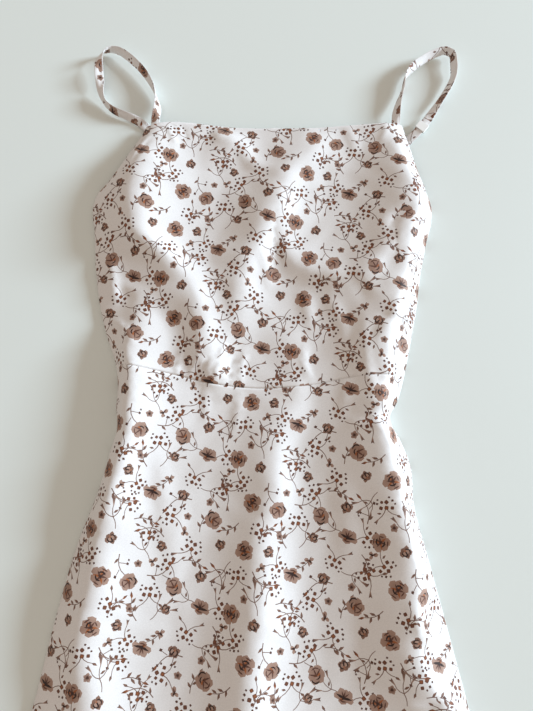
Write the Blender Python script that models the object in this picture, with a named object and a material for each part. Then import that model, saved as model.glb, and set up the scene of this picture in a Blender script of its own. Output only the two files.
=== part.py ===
"""A slip dress of thin printed cloth, laid flat on its back.

+Y runs from the hem to the neckline and +Z is up from the surface. The back
panels lie flat at the bottom, and the front panels lie on them in soft ridges
and hollows. The side seams, the waist seam and the strap ends are gaps of
0.3 mm. Tables are in millimetres, with y measured from the waist seam. The
rest is in metres, and the whole dress is centred on the origin at the end.
"""

import math
from collections import namedtuple

import bmesh
import bpy
import numpy as np

MM = 0.001
CLOTH = 1.2 * MM
SEAM_GAP = 0.3 * MM
SIDE_MARGIN = 1.0 * MM
SKIRT_LENGTH = 700 * MM
HEM_RISE = 32 * MM
BACK_TOP = 238 * MM
STRAP_WIDTH = 11.0 * MM
STRAP_THICK = 1.6 * MM
STRAP_LEAD = 5.0 * MM
SLIDER_LENGTH = 10.0 * MM
SLIDER_WALL = 1.0 * MM

# How the front cloth lies above the back panels
BODICE_LOFT = 5.5 * MM
SKIRT_LOFT = 4.5 * MM
ARMHOLE_LOFT = 4.5 * MM
SIDE_ROLL = 24 * MM
NECK_SETTLE = 0.35
NECK_FADE = 30 * MM
LOWEST = 1.0 * MM
CREST_ROUND = 6.0 * MM
CREST_SHAPE = 1.4

# Steps across and along each panel, and along a strap
FRONT_ACROSS = 42
BODICE_ALONG = 24
SKIRT_ALONG = 34
BACK_ACROSS = 10
STRAP_STEPS = 72
EDGE_CROWDING = 0.55
SLOPE_STEP = 0.5 * MM
SMOOTH_ANGLE = math.radians(40)

Section = namedtuple("Section", "y left right")
OUTLINE = (
    Section(335, -150, 167),
    Section(300, -163, 178),
    Section(269, -180, 187),
    Section(240, -197, 198),
    Section(224, -210, 204),
    Section(207, -214, 204),
    Section(175, -209, 197),
    Section(137, -204, 190),
    Section(90, -195, 184),
    Section(45, -181, 176),
    Section(5, -165, 168),
    Section(-20, -161, 161),
    Section(-40, -161, 152),
    Section(-62, -157, 163),
    Section(-90, -162, 175),
    Section(-135, -172, 179),
    Section(-190, -189, 194),
    Section(-270, -205, 216),
    Section(-360, -219, 240),
    Section(-520, -253, 278),
    Section(-700, -291, 318),
)

Edge = namedtuple("Edge", "x y")
NECKLINE = (
    Edge(-156, 316),
    Edge(-141, 321),
    Edge(-43, 321),
    Edge(11, 322),
    Edge(55, 325),
    Edge(100, 330),
    Edge(168, 334),
)
WAIST_SEAM = (
    Edge(-170, 10),
    Edge(-100, 0),
    Edge(-50, -9),
    Edge(0, -12),
    Edge(60, -6),
    Edge(110, 5),
    Edge(170, 10),
)

# A fold runs down the dress or across it. Each point of its crest gives the
# place along that run, the place across it, the height, and how far the fold
# reaches there to the lower and to the higher side.
Fold = namedtuple("Fold", "name runs crest")
Crest = namedtuple("Crest", "along across height below above")
FOLDS = (
    Fold("left cup rim", "down", (
        Crest(325, -146, 6, 24, 32), Crest(291, -150, 15, 26, 40), Crest(270, -154, 19, 28, 44),
        Crest(240, -157, 22, 32, 46), Crest(213, -158, 23, 34, 44), Crest(190, -155, 23, 32, 42),
        Crest(165, -148, 22, 30, 34), Crest(145, -124, 18, 40, 24), Crest(119, -99, 15, 50, 28),
        Crest(95, -82, 15, 46, 25), Crest(70, -72, 13, 22, 22), Crest(46, -66, 12, 16, 21),
        Crest(22, -61, 11, 17, 20), Crest(0, -52, 7, 14, 18), Crest(-28, -44, 0, 14, 18))),
    Fold("left side", "down", (
        Crest(110, -147, 0, 20, 30), Crest(70, -141, 9, 18, 28), Crest(46, -144, 13, 18, 36),
        Crest(22, -149, 17, 16, 36), Crest(0, -149, 20, 16, 38), Crest(-30, -146, 22, 16, 36),
        Crest(-60, -149, 25, 16, 36), Crest(-92, -153, 26, 17, 36), Crest(-138, -158, 23, 20, 32),
        Crest(-180, -158, 19, 22, 38), Crest(-219, -160, 22, 24, 34), Crest(-259, -166, 21, 24, 34),
        Crest(-299, -168, 19, 26, 32), Crest(-342, -158, 18, 34, 30), Crest(-500, -190, 17, 34, 36),
        Crest(-700, -220, 16, 36, 44))),
    Fold("between the cups", "down", (
        Crest(322, 52, 5, 30, 28), Crest(291, 50, 10, 38, 28), Crest(263, 27, 13, 40, 30),
        Crest(240, 16, 15, 42, 28), Crest(222, 10, 16, 42, 26), Crest(197, 3, 16, 38, 27),
        Crest(172, -6, 15, 32, 18), Crest(148, -19, 14, 38, 22), Crest(119, -26, 12, 26, 20),
        Crest(95, -27, 10, 17, 20), Crest(70, -28, 5, 16, 22), Crest(38, -30, 0, 16, 20))),
    Fold("left cup top", "down", (
        Crest(318, -52, 0, 24, 22), Crest(300, -52, 6, 26, 22), Crest(280, -56, 5, 26, 24),
        Crest(258, -62, 0, 26, 26))),
    Fold("right side", "down", (
        Crest(333, 146, 7, 26, 24), Crest(294, 160, 14, 34, 26), Crest(265, 168, 18, 42, 26),
        Crest(234, 175, 20, 48, 28), Crest(200, 170, 21, 46, 30), Crest(170, 165, 21, 46, 30),
        Crest(145, 164, 20, 50, 26), Crest(119, 156, 20, 62, 24), Crest(95, 154, 20, 62, 22),
        Crest(70, 148, 20, 54, 22), Crest(46, 141, 19, 46, 22), Crest(22, 143, 18, 46, 20),
        Crest(-5, 136, 18, 44, 20), Crest(-25, 138, 20, 44, 18), Crest(-50, 141, 23, 48, 16),
        Crest(-87, 147, 25, 52, 18), Crest(-140, 160, 26, 54, 18), Crest(-191, 170, 26, 54, 20),
        Crest(-242, 172, 26, 54, 22), Crest(-290, 175, 22, 52, 24), Crest(-340, 206, 19, 54, 24),
        Crest(-500, 232, 18, 60, 26), Crest(-700, 262, 17, 66, 28))),
    Fold("skirt centre", "down", (
        Crest(70, 36, 0, 26, 20), Crest(46, 38, 3, 26, 18), Crest(0, 43, 4, 32, 20),
        Crest(-25, 38, 6, 34, 20), Crest(-59, 22, 9, 34, 20), Crest(-92, 20, 11, 38, 18),
        Crest(-136, 20, 13, 27, 20), Crest(-178, 9, 14, 27, 26), Crest(-219, 11, 15, 28, 24),
        Crest(-259, 10, 19, 30, 27), Crest(-299, 6, 19, 34, 27), Crest(-342, 4, 19, 34, 27),
        Crest(-450, -14, 15, 38, 32), Crest(-700, -42, 14, 42, 36))),
    Fold("right cup rim", "across", (
        Crest(12, 172, 0, 16, 26), Crest(24, 157, 5, 16, 26), Crest(50, 138, 7, 16, 26),
        Crest(93, 129, 8, 16, 26), Crest(131, 142, 7, 16, 26), Crest(155, 168, 0, 16, 26))),
)

# The route of each strap, from its front end at the neckline over the loop to
# its back end at the top of the back panel. z is the height of its middle, and
# turn is the angle of its face from lying flat, in degrees.
Route = namedtuple("Route", "x y z turn")
LEFT_STRAP = (
    Route(-145, 336, 10, 15),
    Route(-145, 348, 9.0, 50),
    Route(-148, 361, 8.5, 88),
    Route(-163, 391, 8.5, 125),
    Route(-177, 407, 8.5, 130),
    Route(-191, 419, 8.5, 130),
    Route(-203, 426, 8.5, 116),
    Route(-215, 427, 8.5, 90),
    Route(-223, 421, 9.5, 58),
    Route(-226, 411, 10.5, 22),
    Route(-225, 395, 10.5, -8),
    Route(-222, 378, 9.5, 0),
    Route(-219, 362, 8.5, 45),
    Route(-214, 351, 7.5, 68),
    Route(-203, 341, 6.8, 62),
    Route(-182, 332, 6.2, 54),
    Route(-169, 327, 4.2, 30),
    Route(-157, 319, 1.6, 5),
    Route(-143, 303, 0.8, 0),
    Route(-122, 274, 0.8, 0),
    Route(-120, 254, 0.8, 0),
)
RIGHT_STRAP = (
    Route(161, 348, 8.5, -28),
    Route(163, 361, 8.5, -52),
    Route(170, 387, 8.5, -82),
    Route(173, 403, 8.5, -98),
    Route(180, 414, 9.0, -126),
    Route(196, 429, 9.0, -132),
    Route(214, 440, 9.0, -125),
    Route(226, 444, 9.0, -112),
    Route(234, 440, 9.0, -112),
    Route(236, 427, 9.0, -126),
    Route(236, 409, 8.0, -122),
    Route(229, 391, 7.2, -131),
    Route(216, 368, 6.8, -136),
    Route(207, 353, 6.0, -158),
    Route(201, 343, 5.4, -178),
    Route(195, 335, 5.0, -180),
    Route(189, 327, 4.4, -180),
    Route(178, 316, 2.0, -180),
    Route(164, 299, 0.8, -180),
    Route(129, 270, 0.8, -180),
    Route(126, 254, 0.8, -180),
)
LEFT_STRAP_FRONT = (-145.5, 0)
LEFT_STRAP_BACK = (-120, 0)
RIGHT_STRAP_FRONT = (161, -20)
RIGHT_STRAP_BACK = (126, -180)
SLIDER_AT = (195 * MM, 335 * MM)

Finish = namedtuple("Finish", "color roughness metallic")
PRINTED_CLOTH = Finish((0.80, 0.76, 0.73), 0.62, 0.0)
STRAP_CLOTH = Finish((0.78, 0.73, 0.70), 0.62, 0.0)
WHITE_PLASTIC = Finish((0.86, 0.86, 0.85), 0.30, 0.0)


def smooth(at, rows, column):
    """Read one column of a table as a smooth curve over its first column."""
    table = np.array(sorted(rows, key=lambda row: row[0]), dtype=float) * MM
    knots, values = table[:, 0], table[:, column]
    slopes = np.gradient(values, knots)
    inside = np.clip(at, knots[0], knots[-1])
    span = np.clip(np.searchsorted(knots, inside) - 1, 0, len(knots) - 2)
    width = knots[span + 1] - knots[span]
    t = (inside - knots[span]) / width
    return (
        (1 + 2 * t) * (1 - t) ** 2 * values[span]
        + t * (1 - t) ** 2 * width * slopes[span]
        + t**2 * (3 - 2 * t) * values[span + 1]
        + t**2 * (t - 1) * width * slopes[span + 1]
    )


def left_side(y):
    return smooth(y, OUTLINE, 1)


def right_side(y):
    return smooth(y, OUTLINE, 2)


def neckline(x):
    return smooth(x, NECKLINE, 1)


def waist_seam(x):
    return smooth(x, WAIST_SEAM, 1)


def hem(x):
    """The hem of a flared skirt rises from its middle to its side seams."""
    half = (right_side(-SKIRT_LENGTH) - left_side(-SKIRT_LENGTH)) / 2
    middle = (right_side(-SKIRT_LENGTH) + left_side(-SKIRT_LENGTH)) / 2
    return -SKIRT_LENGTH + HEM_RISE * ((x - middle) / half) ** 2


def step_between(value, low, high):
    """Go smoothly from 0 at low to 1 at high."""
    t = np.clip((value - low) / (high - low), 0, 1)
    return t * t * (3 - 2 * t)


def fold_height(fold, x, y):
    """Height that one fold adds at (x, y): a ridge with a rounded crest."""
    along, across = (y, x) if fold.runs == "down" else (x, y)
    height = np.maximum(smooth(along, fold.crest, 2), 0)
    ends = sorted(point.along * MM for point in fold.crest)
    inside = (along >= ends[0]) & (along <= ends[-1])
    away = across - smooth(along, fold.crest, 1)
    reach = np.where(away < 0, smooth(along, fold.crest, 3), smooth(along, fold.crest, 4))
    beyond = np.hypot(away, CREST_ROUND) - CREST_ROUND
    return np.where(inside, height, 0) * np.exp(-((beyond / reach) ** CREST_SHAPE))


def front_lift(x, y):
    """Height of the front cloth's inner face above the top of the back."""
    loft = SKIRT_LOFT + (BODICE_LOFT - SKIRT_LOFT) * step_between(y, -60 * MM, 60 * MM)
    folded = sum(fold_height(fold, x, y) for fold in FOLDS)
    settled = 1 - NECK_SETTLE * np.exp(-(((neckline(x) - y) / NECK_FADE) ** 2))
    body = np.maximum(loft + folded * settled, LOWEST)
    edge = ARMHOLE_LOFT * step_between(y, BACK_TOP - 12 * MM, BACK_TOP + 14 * MM)
    inset = np.minimum(x - left_side(y), right_side(y) - x)
    roll = np.sqrt(1 - (1 - np.clip(inset / SIDE_ROLL, 0, 1)) ** 2)
    return edge + roll * np.maximum(body - edge, 0)


def front_inner(x, y):
    """Height of the front cloth's inner face above the surface."""
    return CLOTH + SEAM_GAP + front_lift(x, y)


def front_normal(x, y):
    """The direction that the front cloth faces at (x, y)."""
    rise_x = front_lift(x + SLOPE_STEP, y) - front_lift(x - SLOPE_STEP, y)
    rise_y = front_lift(x, y + SLOPE_STEP) - front_lift(x, y - SLOPE_STEP)
    normal = np.stack([-rise_x, -rise_y, np.full_like(x, 2 * SLOPE_STEP)], axis=-1)
    return normal / np.linalg.norm(normal, axis=-1, keepdims=True)


def panel_grid(across, along, bottom, top, widen=0.0, crowding=EDGE_CROWDING):
    """Points of a panel between its two sides and its bottom and top edges."""
    even = np.linspace(0, 1, across + 1)
    crowded = (1 - np.cos(math.pi * even)) / 2
    share = even + (crowded - even) * crowding
    s, t = np.meshgrid(share, np.linspace(0, 1, along + 1))
    y = bottom(np.zeros_like(s)) * (1 - t) + top(np.zeros_like(s)) * t
    for _ in range(6):
        x = (left_side(y) - widen) * (1 - s) + (right_side(y) + widen) * s
        y = bottom(x) * (1 - t) + top(x) * t
    return x, y


def material(name, finish):
    made = bpy.data.materials.new(name)
    made.use_nodes = True
    shader = made.node_tree.nodes["Principled BSDF"]
    shader.inputs["Base Color"].default_value = (*finish.color, 1)
    shader.inputs["Roughness"].default_value = finish.roughness
    shader.inputs["Metallic"].default_value = finish.metallic
    made.diffuse_color = (*finish.color, 1)
    return made


def solid(name, points, faces, finish):
    """Make one closed object from points and faces, with its faces outward."""
    mesh = bpy.data.meshes.new(name)
    mesh.from_pydata(points, [], faces)
    shell = bmesh.new()
    shell.from_mesh(mesh)
    bmesh.ops.recalc_face_normals(shell, faces=shell.faces)
    shell.to_mesh(mesh)
    shell.free()
    mesh.shade_smooth()
    mesh.set_sharp_from_angle(angle=SMOOTH_ANGLE)
    made = bpy.data.objects.new(name, mesh)
    made.data.materials.append(material(name, finish))
    bpy.context.scene.collection.objects.link(made)
    return made


def cloth_wall(name, inner, outer, finish):
    """A closed wall of cloth between two grids of points."""
    rows, columns = inner.shape[:2]
    lower = np.arange(rows * columns).reshape(rows, columns)
    upper = lower + rows * columns
    faces = []
    for i in range(rows - 1):
        for j in range(columns - 1):
            for layer in (lower, upper):
                faces.append((layer[i, j], layer[i, j + 1], layer[i + 1, j + 1], layer[i + 1, j]))
    rim = [(0, j) for j in range(columns)]
    rim += [(i, columns - 1) for i in range(1, rows)]
    rim += [(rows - 1, j) for j in range(columns - 2, -1, -1)]
    rim += [(i, 0) for i in range(rows - 2, 0, -1)]
    for here, after in zip(rim, rim[1:] + rim[:1]):
        faces.append((lower[here], lower[after], upper[after], upper[here]))
    points = np.concatenate([inner.reshape(-1, 3), outer.reshape(-1, 3)])
    faces = [tuple(int(corner) for corner in face) for face in faces]
    return solid(name, points.tolist(), faces, finish)


def front_panel(name, along, bottom, top):
    """A front panel lies in its folds, and its outer face is moved out."""
    x, y = panel_grid(FRONT_ACROSS, along, bottom, top)
    inner = np.stack([x, y, front_inner(x, y)], axis=-1)
    return cloth_wall(name, inner, inner + CLOTH * front_normal(x, y), PRINTED_CLOTH)


def back_panel(name, along, bottom, top):
    """A back panel lies flat on the surface under the front."""
    x, y = panel_grid(BACK_ACROSS, along, bottom, top, SIDE_MARGIN, 0.0)
    lower = np.stack([x, y, np.zeros_like(x)], axis=-1)
    upper = np.stack([x, y, np.full_like(x, CLOTH)], axis=-1)
    return cloth_wall(name, lower, upper, PRINTED_CLOTH)


def strap_stations(route, steps):
    """Centres, directions across and face directions at even steps of a route."""
    rows = np.array(route, dtype=float)
    gaps = np.linalg.norm(np.diff(rows[:, :3], axis=0), axis=1)
    place = np.concatenate([[0], np.cumsum(gaps)])
    table = np.column_stack([place, rows])
    at = np.linspace(0, place[-1], steps + 1) * MM
    centre = np.stack([smooth(at, table, column) for column in (1, 2, 3)], axis=-1)
    turn = np.radians(smooth(at, table, 4) / MM)[:, None]
    reach = np.abs(np.sin(turn)) * STRAP_WIDTH + np.abs(np.cos(turn)) * STRAP_THICK
    centre[:, 2] = np.maximum(centre[:, 2], reach[:, 0] / 2)
    along = np.gradient(centre, axis=0)
    along /= np.linalg.norm(along, axis=1, keepdims=True)
    level = np.cross((0, 0, 1), along)
    level /= np.linalg.norm(level, axis=1, keepdims=True)
    upright = np.cross(along, level)
    across = np.cos(turn) * level + np.sin(turn) * upright
    return centre, across, np.cross(along, across)


def section_loops(stations, width, thick):
    """The four corners of a rectangular section at every station."""
    centre, across, face = stations
    corners = ((-1, -1), (1, -1), (1, 1), (-1, 1))
    loops = [centre + a * across * width / 2 + b * face * thick / 2 for a, b in corners]
    return np.stack(loops, axis=1)


def bands(first, second, count):
    """Quads between two lists of loops' corners, round each loop."""
    return [
        (first[k], first[(k + 1) % count], second[(k + 1) % count], second[k])
        for k in range(count)
    ]


def strap(name, stations):
    """A folded and stitched strip of cloth, swept along its route."""
    loops = section_loops(stations, STRAP_WIDTH, STRAP_THICK)
    steps, count = loops.shape[:2]
    index = np.arange(steps * count).reshape(steps, count).tolist()
    faces = [tuple(index[0]), tuple(index[-1])]
    for here, after in zip(index, index[1:]):
        faces += bands(here, after, count)
    return solid(name, loops.reshape(-1, 3).tolist(), faces, STRAP_CLOTH)


def slider(name, stations, middle):
    """A moulded slider round the strap, from the strap's own stations."""
    centre = stations[0]
    travel = np.linalg.norm(np.gradient(centre, axis=0), axis=1).mean()
    nearest = int(np.argmin(np.linalg.norm(centre[:, :2] - np.array(middle), axis=1)))
    half = max(1, round(SLIDER_LENGTH / travel / 2))
    part = tuple(rows[nearest - half:nearest + half + 1] for rows in stations)
    hole_width = STRAP_WIDTH + 2 * SEAM_GAP
    hole_thick = STRAP_THICK + 2 * SEAM_GAP
    inner = section_loops(part, hole_width, hole_thick)
    outer = section_loops(part, hole_width + 2 * SLIDER_WALL, hole_thick + 2 * SLIDER_WALL)
    steps, count = inner.shape[:2]
    inside = np.arange(steps * count).reshape(steps, count).tolist()
    outside = (np.arange(steps * count) + steps * count).reshape(steps, count).tolist()
    faces = bands(inside[0], outside[0], count) + bands(inside[-1], outside[-1], count)
    for layer in (inside, outside):
        for here, after in zip(layer, layer[1:]):
            faces += bands(here, after, count)
    points = np.concatenate([inner.reshape(-1, 3), outer.reshape(-1, 3)]).tolist()
    return solid(name, points, faces, WHITE_PLASTIC)


def strap_route(front, back, middle):
    """Add a strap's two sewn ends to the route of its loop."""
    front_x, front_turn = front
    back_x, back_turn = back
    width = np.linspace(-STRAP_WIDTH / 2, STRAP_WIDTH / 2, 5) + front_x * MM
    top = neckline(width).max() + 2 * SEAM_GAP
    height = front_inner(width, neckline(width)).mean() + CLOTH / 2
    start = Route(front_x, top / MM, height / MM, front_turn)
    lead = start._replace(y=start.y + STRAP_LEAD / MM)
    end = Route(back_x, (BACK_TOP + SEAM_GAP) / MM, STRAP_THICK / 2 / MM, back_turn)
    return (start, lead, *middle, end)


def clear_scene():
    for made in list(bpy.data.objects):
        bpy.data.objects.remove(made, do_unlink=True)


def centre_on_origin(pieces):
    """Move the dress so that the middle of its box is over the origin."""
    corners = np.array([corner.co[:] for made in pieces for corner in made.data.vertices])
    middle = (corners.min(axis=0) + corners.max(axis=0)) / 2
    for made in pieces:
        made.location = (-middle[0], -middle[1], 0)


def build_dress():
    clear_scene()
    half_gap = SEAM_GAP / 2
    pieces = [
        front_panel("bodice_front", BODICE_ALONG, lambda x: waist_seam(x) + half_gap, neckline),
        front_panel("skirt_front", SKIRT_ALONG, hem, lambda x: waist_seam(x) - half_gap),
        back_panel(
            "bodice_back",
            BODICE_ALONG,
            lambda x: waist_seam(x) + half_gap,
            lambda x: np.full_like(x, BACK_TOP),
        ),
        back_panel("skirt_back", SKIRT_ALONG, hem, lambda x: waist_seam(x) - half_gap),
    ]
    left = strap_route(LEFT_STRAP_FRONT, LEFT_STRAP_BACK, LEFT_STRAP)
    right = strap_route(RIGHT_STRAP_FRONT, RIGHT_STRAP_BACK, RIGHT_STRAP)
    right_stations = strap_stations(right, STRAP_STEPS)
    pieces.append(strap("strap_left", strap_stations(left, STRAP_STEPS)))
    pieces.append(strap("strap_right", right_stations))
    pieces.append(slider("strap_slider", right_stations, SLIDER_AT))
    centre_on_origin(pieces)


build_dress()
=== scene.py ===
import math
from collections import namedtuple

import bpy
import numpy as np
from mathutils.geometry import delaunay_2d_cdt
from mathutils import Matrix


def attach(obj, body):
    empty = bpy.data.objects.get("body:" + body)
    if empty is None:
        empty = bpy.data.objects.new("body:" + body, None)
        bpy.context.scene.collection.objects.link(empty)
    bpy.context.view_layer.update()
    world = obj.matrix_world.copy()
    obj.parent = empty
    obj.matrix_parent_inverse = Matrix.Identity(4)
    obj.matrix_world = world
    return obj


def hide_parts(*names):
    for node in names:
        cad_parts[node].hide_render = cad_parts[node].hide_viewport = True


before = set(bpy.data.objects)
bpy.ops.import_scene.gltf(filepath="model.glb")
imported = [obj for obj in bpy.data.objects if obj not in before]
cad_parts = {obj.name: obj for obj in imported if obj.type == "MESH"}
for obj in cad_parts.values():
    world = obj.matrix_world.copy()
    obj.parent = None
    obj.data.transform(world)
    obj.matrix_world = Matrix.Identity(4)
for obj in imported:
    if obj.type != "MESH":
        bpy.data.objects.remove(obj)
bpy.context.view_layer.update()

# The table, the window light and the camera
# The dress lies on a smooth pale table. Soft daylight comes from a large window
# on the right, and the picture is taken from above, leaning a little forward.
CAMERA_AT = (0.0003, 0.0356, 0.62)
CAMERA_TILT = 11.0
CAMERA_LEAN = 2.4375
LENS_MM = 27.04
TABLE_HALF = 4.0
TABLE_GREEN_GREY = (0.765, 0.810, 0.780)
TABLE_MOTTLE = 0.975
WINDOW_AT = (9.2, 3.2, 2.75)
WINDOW_SIZE = 2.2
WINDOW_WATTS = 1850.0
WINDOW_LIGHT = (0.71, 0.866, 1.0)
ROOM_LIGHT = (1.0, 0.87, 0.76)
ROOM_STRENGTH = 0.54

camera = bpy.data.objects.new("camera", bpy.data.cameras.new("camera"))
camera.data.lens = LENS_MM
camera.data.clip_start = 0.02
camera.location = CAMERA_AT
camera.rotation_euler = (math.radians(CAMERA_TILT), 0, math.radians(CAMERA_LEAN))
bpy.context.scene.collection.objects.link(camera)
bpy.context.scene.camera = camera
bpy.context.scene.view_settings.view_transform = "Standard"

window = bpy.data.objects.new("window", bpy.data.lights.new("window", "AREA"))
window.data.shape = "SQUARE"
window.data.size = WINDOW_SIZE
window.data.energy = WINDOW_WATTS
window.data.color = WINDOW_LIGHT
window.location = WINDOW_AT
window.rotation_euler = window.location.to_track_quat("Z", "Y").to_euler()
bpy.context.scene.collection.objects.link(window)

room = bpy.data.worlds.new("room")
room.use_nodes = True
room.node_tree.nodes["Background"].inputs["Color"].default_value = (*ROOM_LIGHT, 1)
room.node_tree.nodes["Background"].inputs["Strength"].default_value = ROOM_STRENGTH
bpy.context.scene.world = room

table_top = bpy.data.meshes.new("table_top")
table_corners = [(-1, -1), (1, -1), (1, 1), (-1, 1)]
table_top.from_pydata([(x * TABLE_HALF, y * TABLE_HALF, 0) for x, y in table_corners], [], [(0, 1, 2, 3)])
table = bpy.data.objects.new("table", table_top)
bpy.context.scene.collection.objects.link(table)

table_paint = bpy.data.materials.new("table_paint")
table_paint.use_nodes = True
paint = table_paint.node_tree.nodes["Principled BSDF"]
paint.inputs["Roughness"].default_value = 0.55
mottle = table_paint.node_tree.nodes.new("ShaderNodeTexNoise")
mottle.inputs["Scale"].default_value = 3.0
mottle.inputs["Detail"].default_value = 3.0
tones = table_paint.node_tree.nodes.new("ShaderNodeValToRGB")
tones.color_ramp.elements[0].position = 0.3
tones.color_ramp.elements[1].position = 0.7
tones.color_ramp.elements[0].color = (*[tone * TABLE_MOTTLE for tone in TABLE_GREEN_GREY], 1)
tones.color_ramp.elements[1].color = (*TABLE_GREEN_GREY, 1)
table_paint.node_tree.links.new(mottle.outputs["Fac"], tones.inputs["Fac"])
table_paint.node_tree.links.new(tones.outputs["Color"], paint.inputs["Base Color"])
table_top.materials.append(table_paint)

# The printed cloth
# A light plain-weave viscose, off-white, printed with small brown blossoms, leaf
# sprays and trailing buds. The print is a half-drop repeat drawn here, in
# millimetres: each column of repeats sits half a repeat higher than the last.
REPEAT = 160.0
CLOTH_WHITE = (0.782, 0.757, 0.748)
CLOTH_INSIDE = (0.745, 0.71, 0.69)
PALE_PETAL = (0.39, 0.255, 0.200)
MID_PETAL = (0.27, 0.155, 0.112)
DEEP_BROWN = (0.105, 0.046, 0.032)
LINE_BROWN = (0.032, 0.015, 0.012)
RUST = (0.33, 0.105, 0.035)
STEM_BROWN = (0.20, 0.120, 0.092)

Shape = namedtuple("Shape", "points centre reach inner outer")


def turned(points, degrees):
    """Points turned round the origin."""
    angle = math.radians(degrees)
    spin = np.array([[math.cos(angle), math.sin(angle)], [-math.sin(angle), math.cos(angle)]])
    return np.asarray(points, dtype=float) @ spin


def petal(angle, out, half_length, half_width, inner, outer, corners=7, reach=None):
    """A ruffled petal whose middle is that far out from the flower's middle."""
    t = np.linspace(0, 2 * math.pi, corners, endpoint=False)
    wave = 1 + 0.08 * np.cos(3 * t + angle)
    along = out + half_length * np.cos(t) * wave
    across = half_width * np.sin(t) * (1 + 0.22 * np.cos(t)) * wave
    points = turned(np.stack([along, across], axis=-1), angle)
    return Shape(points, (0, 0), reach or out + half_length, inner, outer)


def streak(angle, start, end, width, ink=LINE_BROWN, bend=0.0):
    """A streak drawn from near a flower's middle outward, ending in a point."""
    middle = start + (end - start) * 0.45
    points = [(start, -width), (middle, bend - width), (end, bend * 1.7)]
    points += [(middle, bend + width), (start, width)]
    return Shape(turned(points, angle), (0, 0), end, ink, ink)


def curl(x, y, radius, start, end, width, ink=LINE_BROWN):
    """A curved line, thick in its middle, round the edge of a petal."""
    angle = np.radians(np.linspace(start, end, 5))
    outer = np.stack([x + radius * np.cos(angle), y + radius * np.sin(angle)], axis=-1)
    inside = radius - width
    inner = np.stack([x + inside * np.cos(angle), y + inside * np.sin(angle)], axis=-1)[1:-1]
    return Shape(np.concatenate([outer, inner[::-1]]), (x, y), radius, ink, ink)


def stroke(start, end, bow, wide, thin, steps=3):
    """A stem from one place to another, bowed to its left."""
    start, end = np.array(start, float), np.array(end, float)
    run = end - start
    side = np.array([-run[1], run[0]])
    t = np.linspace(0, 1, steps + 1)[:, None]
    line = start + run * t + side * bow * 4 * t * (1 - t)
    slope = np.gradient(line, axis=0)
    slope /= np.linalg.norm(slope, axis=1, keepdims=True)
    normal = np.stack([-slope[:, 1], slope[:, 0]], axis=-1)
    half = (wide + (thin - wide) * t) / 2
    points = np.concatenate([line - normal * half, (line + normal * half)[::-1]])
    return Shape(points, tuple(start), float(np.linalg.norm(run)), STEM_BROWN, STEM_BROWN)


def leaf(at, angle, length, width, inner=DEEP_BROWN, outer=MID_PETAL):
    """A pointed leaf or a closed bud, from its base to its tip."""
    outline = ((0, 0), (0.35, -0.48), (0.68, -0.34), (1, 0), (0.5, 0.5))
    points = turned([(x * length, y * width) for x, y in outline], angle) + np.array(at)
    return Shape(points, tuple(at), length, inner, outer)


def trumpet(at, angle, length, width):
    """A long bud that flares to a notched mouth."""
    outline = ((0, -0.10), (1, -0.5), (0.86, 0), (1.05, 0.45), (0, 0.10))
    points = turned([(x * length, y * width) for x, y in outline], angle) + np.array(at)
    return Shape(points, tuple(at), length, PALE_PETAL, DEEP_BROWN)


def blot(at, size):
    """A dot, a little longer than it is wide."""
    t = np.linspace(0, 2 * math.pi, 4, endpoint=False) + at[0]
    points = np.stack([np.cos(t) * 1.15, np.sin(t)], axis=-1) * size + np.array(at)
    return Shape(points, tuple(at), size, DEEP_BROWN, DEEP_BROWN)


def floret(at, size, turn, inner=RUST, outer=DEEP_BROWN, lobes=4, notch=0.80):
    """A tiny flower with that many petals."""
    t = np.linspace(0, 2 * math.pi, 2 * lobes, endpoint=False) + math.radians(turn)
    out = np.where(np.arange(2 * lobes) % 2 == 0, size, size * notch)
    points = np.stack([np.cos(t) * out, np.sin(t) * out], axis=-1) + np.array(at)
    return Shape(points, tuple(at), size, inner, outer)


def open_flower():
    """A full blossom seen from the front, about one unit in radius."""
    back = ((4, 0.56, 0.48, 0.44), (62, 0.46, 0.48, 0.38), (118, 0.58, 0.44, 0.42))
    back += ((184, 0.46, 0.48, 0.42), (240, 0.56, 0.46, 0.42), (300, 0.50, 0.46, 0.40))
    shapes = [petal(*row, MID_PETAL, PALE_PETAL, reach=0.95) for row in back]
    shapes += [streak(angle, 0.1, 0.72, 0.10, RUST, 0.06) for angle in (40, 142, 262)]
    shapes += [streak(angle, 0.05, 0.62, 0.085, DEEP_BROWN, 0.05) for angle in (10, 92, 205, 325)]
    shapes.append(curl(0.06, 0.02, 0.70, 16, 74, 0.13, DEEP_BROWN))
    shapes.append(curl(0.0, -0.04, 0.74, 196, 248, 0.12, DEEP_BROWN))
    shapes.append(curl(-0.02, 0.06, 0.68, 286, 330, 0.12, DEEP_BROWN))
    shapes.append(curl(0.12, 0.08, 0.38, -20, 130, 0.16))
    shapes.append(curl(-0.10, 0.0, 0.40, 130, 280, 0.15))
    shapes.append(floret((0.02, 0.0), 0.30, 20, LINE_BROWN, DEEP_BROWN, 3, 0.4))
    return shapes


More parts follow.
